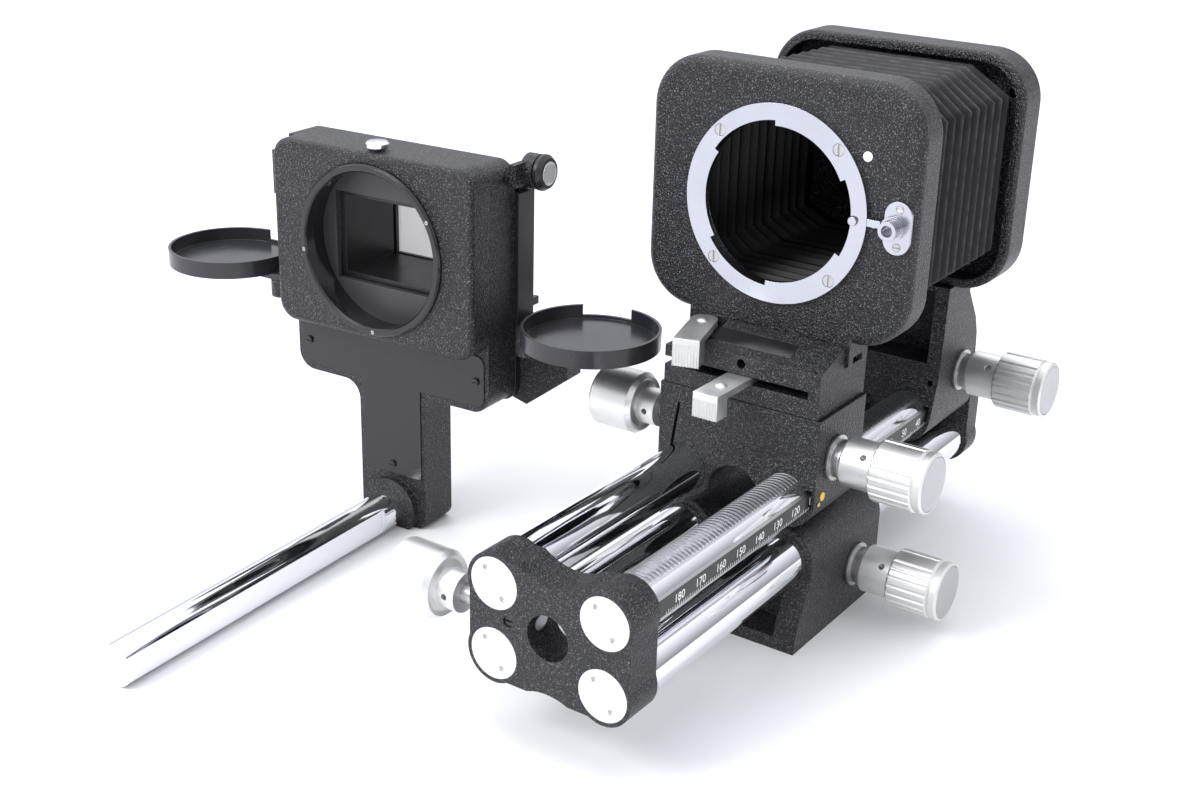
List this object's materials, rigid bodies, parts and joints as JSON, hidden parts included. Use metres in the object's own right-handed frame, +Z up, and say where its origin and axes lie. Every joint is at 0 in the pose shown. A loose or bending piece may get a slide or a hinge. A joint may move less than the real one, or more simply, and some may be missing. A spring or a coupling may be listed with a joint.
{
  "type": "slide duplicator",
  "caption": "Bellows unit on a four-rail frame with rack drives, shown with its slide copying adapter standing beside it",
  "frame": {"origin": "mouth of the tripod bush, on the plane of the table", "axes": "+X to the right across the rails, +Y back along the rails from the lens end to the camera end, +Z up"},
  "size_m": [0.2696, 0.2582, 0.1622],
  "materials": {
    "crinkle_black": "crinkle enamel, satin",
    "bright_chrome": "polished plating",
    "satin_metal": "satin",
    "plain_steel": "satin",
    "gloss_black": "gloss",
    "satin_black": "satin",
    "grey_mask": "smooth matt",
    "brass": "polished",
    "yellow_paint": "enamel",
    "white_paint": "enamel",
    "bellows_skin": "pleated cloth with a leather grain, matt",
    "tray_black": "satin",
    "opal": "opal"
  },
  "bodies": {
    "tripod_block": {"tripod_block": "crinkle_black", "tripod_bush": "plain_steel"},
    "block_drive": {"block_drive_knob": "satin_metal", "block_pinion_shaft": "bright_chrome"},
    "rail_frame": {"front_end_plate": "crinkle_black", "rear_end_plate": "crinkle_black", "upper_left_rail": "bright_chrome", "upper_rack_rail": "bright_chrome", "lower_left_rail": "bright_chrome", "lower_rack_rail": "bright_chrome", "rail_end_caps": "satin_metal", "scale_bar": "plain_steel", "plate_set_screw": "gloss_black"},
    "rod_clamp": {"rod_clamp_knob": "satin_metal", "rod_clamp_screw": "plain_steel"},
    "front_carriage": {"front_carriage": "crinkle_black", "index_dot": "yellow_paint", "index_pin": "brass"},
    "front_drive": {"front_drive_knob": "satin_metal", "front_pinion_shaft": "bright_chrome"},
    "front_lock": {"front_lock_knob": "satin_metal", "front_lock_screw": "plain_steel"},
    "swing_stage": {"swing_stage": "crinkle_black", "stage_nameplate": "gloss_black"},
    "swing_lever": {"swing_lever": "satin_metal"},
    "shift_lever": {"shift_lever": "satin_metal"},
    "lens_board": {"lens_board": "crinkle_black", "lens_mount_ring": "bright_chrome", "mount_ring_screws": "plain_steel", "mount_index_dot": "white_paint", "release_plate": "bright_chrome"},
    "release_lever": {"release_lever": "bright_chrome"},
    "rear_standard": {"rear_carriage": "crinkle_black", "rear_frame": "crinkle_black", "bellows": "bellows_skin"},
    "rear_drive": {"rear_drive_knob": "satin_metal", "rear_pinion_shaft": "bright_chrome"},
    "rear_lock": {"rear_lock_knob": "satin_metal", "rear_lock_screw": "plain_steel"},
    "camera_mount": {"camera_mount_ring": "satin_black", "camera_bayonet": "bright_chrome"},
    "mount_lock": {"mount_lock_button": "bright_chrome"},
    "adapter": {"adapter_stand": "crinkle_black", "adapter_rod": "bright_chrome", "adapter_nameplate": "gloss_black", "nameplate_screws": "gloss_black", "adapter_housing": "crinkle_black", "adapter_ring": "gloss_black", "adapter_ring_screws": "plain_steel", "gate_mask": "grey_mask", "back_plate": "satin_black"},
    "ring_lock": {"ring_lock_screw": "bright_chrome"},
    "stage_lock": {"stage_lock_knob": "satin_black"},
    "stage_frame": {"stage_frame": "satin_black"},
    "film_gate": {"film_gate": "satin_black", "door_hinge_pin": "plain_steel"},
    "diffuser_door": {"diffuser_door": "satin_black", "opal_plate": "opal"},
    "left_tray": {"left_film_tray": "tray_black"},
    "right_tray": {"right_film_tray": "tray_black"}
  },
  "joints": [
    {"name": "frame_slide", "type": "slide", "parent": "tripod_block", "child": "rail_frame", "axis": [0, 1, 0], "range_m": [-0.06, 0.065]},
    {"name": "block_drive_turn", "type": "hinge", "parent": "tripod_block", "child": "block_drive", "pos_m": [0.03, 0.011, 0.01446], "axis": [1, 0, 0], "continuous": true},
    {"name": "rod_clamp_turn", "type": "hinge", "parent": "rail_frame", "child": "rod_clamp", "pos_m": [-0.03, -0.1037, 0.0355], "axis": [-1, 0, 0], "range_deg": [-180, 180]},
    {"name": "front_slide", "type": "slide", "parent": "rail_frame", "child": "front_carriage", "axis": [0, 1, 0], "range_m": [-0.075, 0.02], "deforming": ["bellows"]},
    {"name": "front_drive_turn", "type": "hinge", "parent": "front_carriage", "child": "front_drive", "pos_m": [0.03, -0.009, 0.05654], "axis": [1, 0, 0], "continuous": true},
    {"name": "front_lock_turn", "type": "hinge", "parent": "front_carriage", "child": "front_lock", "pos_m": [-0.03, -0.009, 0.05654], "axis": [-1, 0, 0], "range_deg": [-180, 180]},
    {"name": "swing", "type": "hinge", "parent": "front_carriage", "child": "swing_stage", "pos_m": [0, -0.006, 0.0705], "axis": [0, 0, 1], "range_deg": [-25, 25], "deforming": ["bellows"]},
    {"name": "swing_lever_turn", "type": "hinge", "parent": "swing_stage", "child": "swing_lever", "pos_m": [-0.0002, -0.0135, 0.077], "axis": [0, 0, 1], "range_deg": [-25, 35]},
    {"name": "shift_lever_turn", "type": "hinge", "parent": "swing_stage", "child": "shift_lever", "pos_m": [-0.0182, -0.0104, 0.086], "axis": [0, 0, 1], "range_deg": [-16, 8]},
    {"name": "shift", "type": "slide", "parent": "swing_stage", "child": "lens_board", "axis": [1, 0, 0], "range_m": [-0.01, 0.01], "deforming": ["bellows"]},
    {"name": "lens_release", "type": "slide", "parent": "lens_board", "child": "release_lever", "axis": [0, 1, 0], "range_m": [0, 0.001], "stiffness_N_per_m": 400},
    {"name": "rear_slide", "type": "slide", "parent": "rail_frame", "child": "rear_standard", "axis": [0, 1, 0], "range_m": [-0.02, 0.0015], "deforming": ["bellows"]},
    {"name": "rear_drive_turn", "type": "hinge", "parent": "rear_standard", "child": "rear_drive", "pos_m": [0.03, 0.079, 0.05654], "axis": [1, 0, 0], "continuous": true},
    {"name": "rear_lock_turn", "type": "hinge", "parent": "rear_standard", "child": "rear_lock", "pos_m": [-0.03, 0.079, 0.05654], "axis": [-1, 0, 0], "range_deg": [-180, 180]},
    {"name": "camera_turn", "type": "hinge", "parent": "rear_standard", "child": "camera_mount", "pos_m": [0, 0.09, 0.1247], "axis": [0, 1, 0], "range_deg": [0, 90]},
    {"name": "mount_lock_press", "type": "slide", "parent": "rear_standard", "child": "mount_lock", "axis": [0, -1, 0], "range_m": [0, 0.001], "stiffness_N_per_m": 400},
    {"name": "adapter_slide", "type": "slide", "parent": "tripod_block", "child": "adapter", "axis": [0.0576, -0.9983, 0], "range_m": [0, 0.06]},
    {"name": "ring_lock_turn", "type": "hinge", "parent": "adapter", "child": "ring_lock", "pos_m": [-0.12122, -0.034, 0.124], "axis": [0, 0, 1], "range_deg": [-180, 180]},
    {"name": "stage_lock_turn", "type": "hinge", "parent": "adapter", "child": "stage_lock", "pos_m": [-0.07971, -0.00686, 0.1208], "axis": [0.9983, 0.0576, 0], "range_deg": [-180, 180]},
    {"name": "stage_height", "type": "slide", "parent": "adapter", "child": "stage_frame", "axis": [0, 0, 1], "range_m": [-0.006, 0.006]},
    {"name": "gate_shift", "type": "slide", "parent": "stage_frame", "child": "film_gate", "axis": [0.9983, 0.0576, 0], "range_m": [-0.009, 0.009]},
    {"name": "diffuser_open", "type": "hinge", "parent": "film_gate", "child": "diffuser_door", "pos_m": [-0.12318, 0.00005, 0.0783], "axis": [-0.9983, -0.0576, 0], "range_deg": [0, 90]},
    {"name": "left_tray_swing", "type": "hinge", "parent": "adapter", "child": "left_tray", "pos_m": [-0.17069, -0.02733, 0.07], "axis": [0, 0, 1], "range_deg": [0, 60]},
    {"name": "right_tray_swing", "type": "hinge", "parent": "adapter", "child": "right_tray", "pos_m": [-0.07285, -0.02169, 0.07], "axis": [0, 0, -1], "range_deg": [0, 60]}
  ],
  "couplings": [
    {"joint": "block_drive_turn", "follows": "frame_slide", "rad_per_m": -235.85},
    {"joint": "front_drive_turn", "follows": "front_slide", "rad_per_m": -235.85},
    {"joint": "rear_drive_turn", "follows": "rear_slide", "rad_per_m": -235.85}
  ]
}
